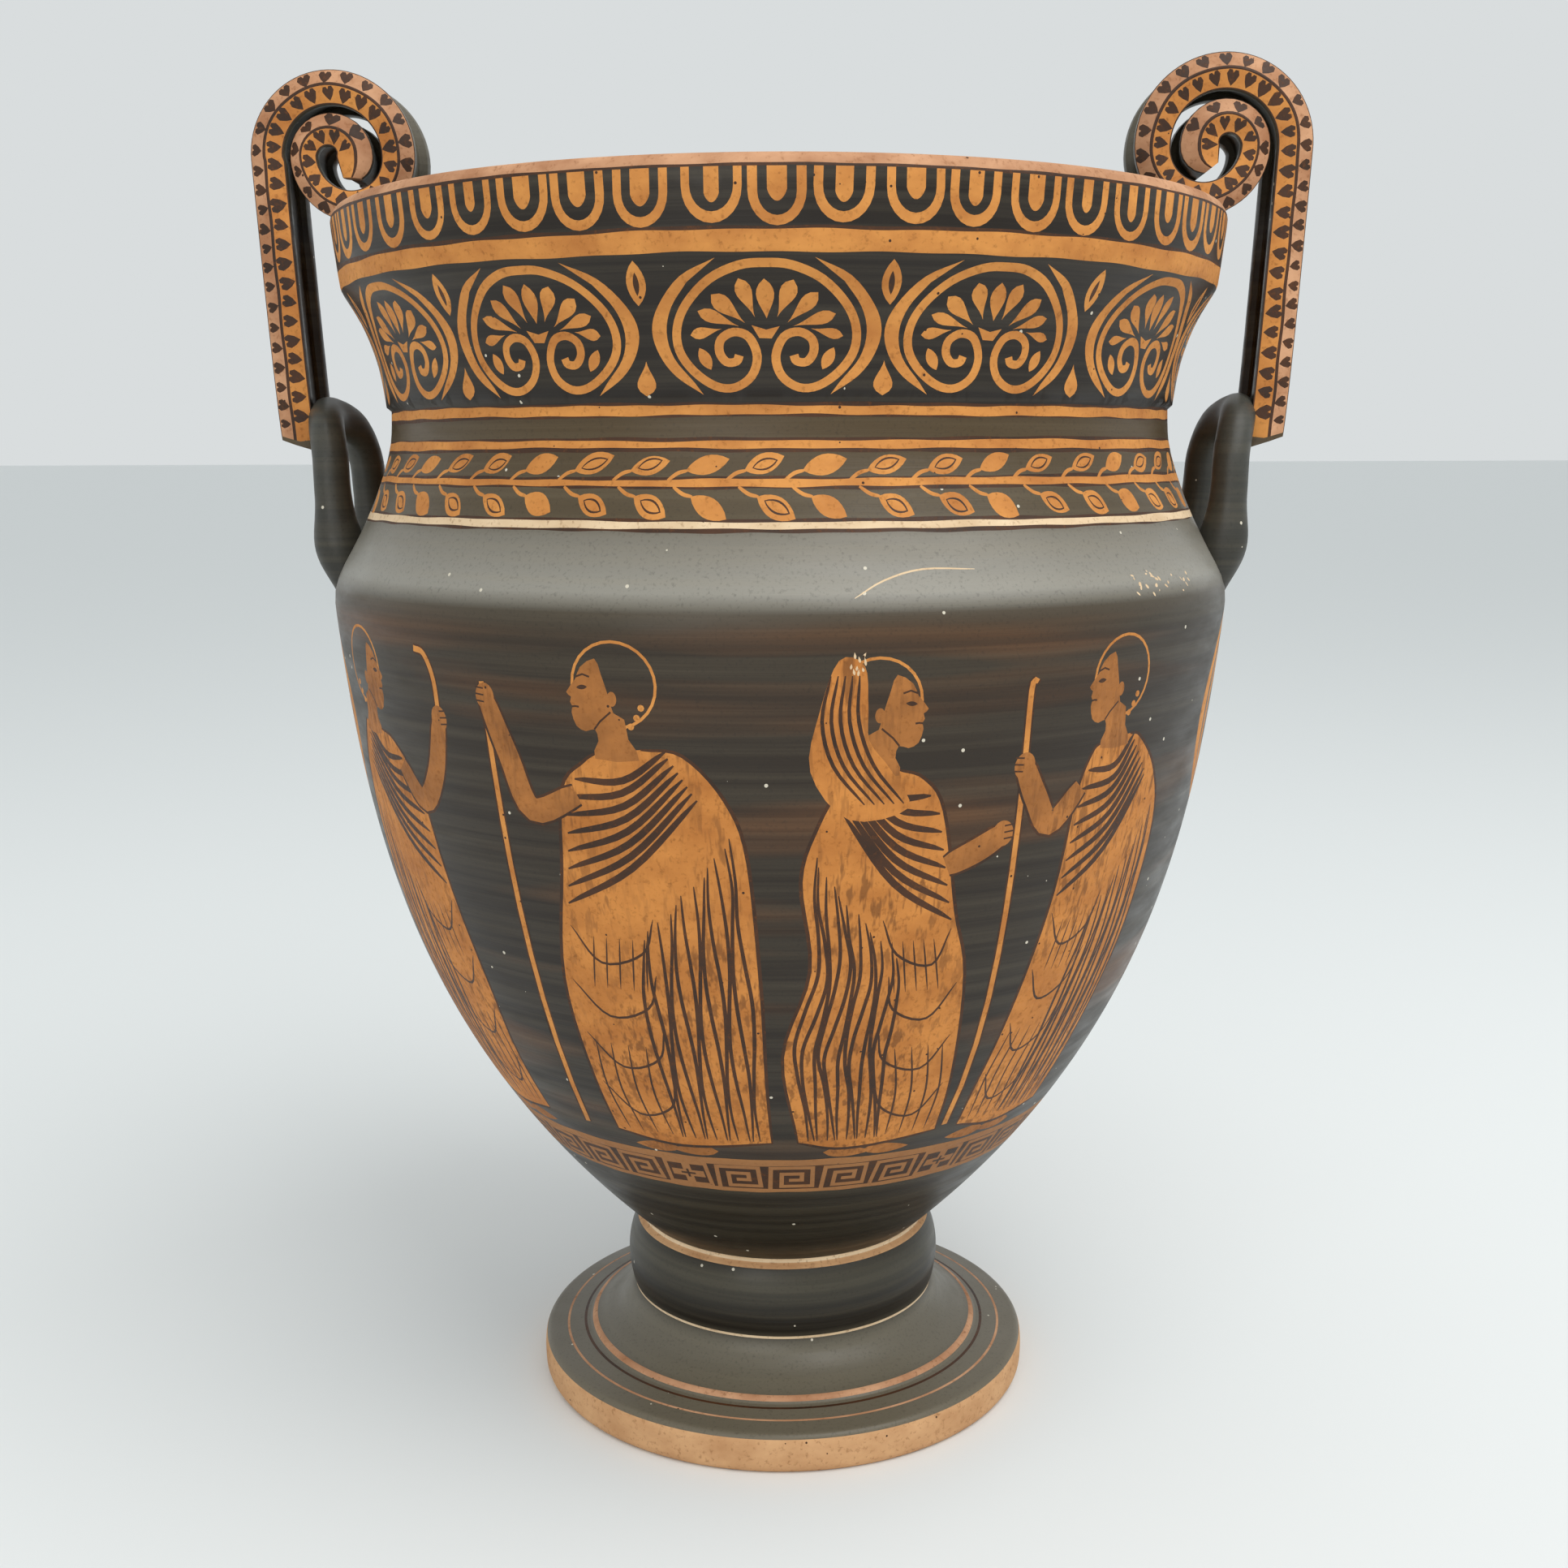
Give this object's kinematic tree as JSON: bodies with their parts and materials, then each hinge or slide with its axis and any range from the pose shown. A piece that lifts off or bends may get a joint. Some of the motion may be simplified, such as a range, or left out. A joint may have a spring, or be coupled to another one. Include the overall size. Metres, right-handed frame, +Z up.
{
  "type": "greek volute krater",
  "caption": "Two-handled wide-mouthed mixing bowl on a hollow pedestal foot, with flanged strap handles that roll up into volutes resting on the lip, painted in red-figure style.",
  "frame": {"origin": "centre of the foot's underside", "axes": "+Z up along the wheel axis; the two handles lie along +X and -X; the main picture faces -Y"},
  "size_m": [0.2486, 0.2158, 0.3262],
  "materials": {
    "glazed_terracotta": "fired clay with a satin black slip; bare orange-tan clay in the reserved figures and ornaments"
  },
  "bodies": {
    "root": {"krater": "glazed_terracotta"}
  },
  "joints": []
}
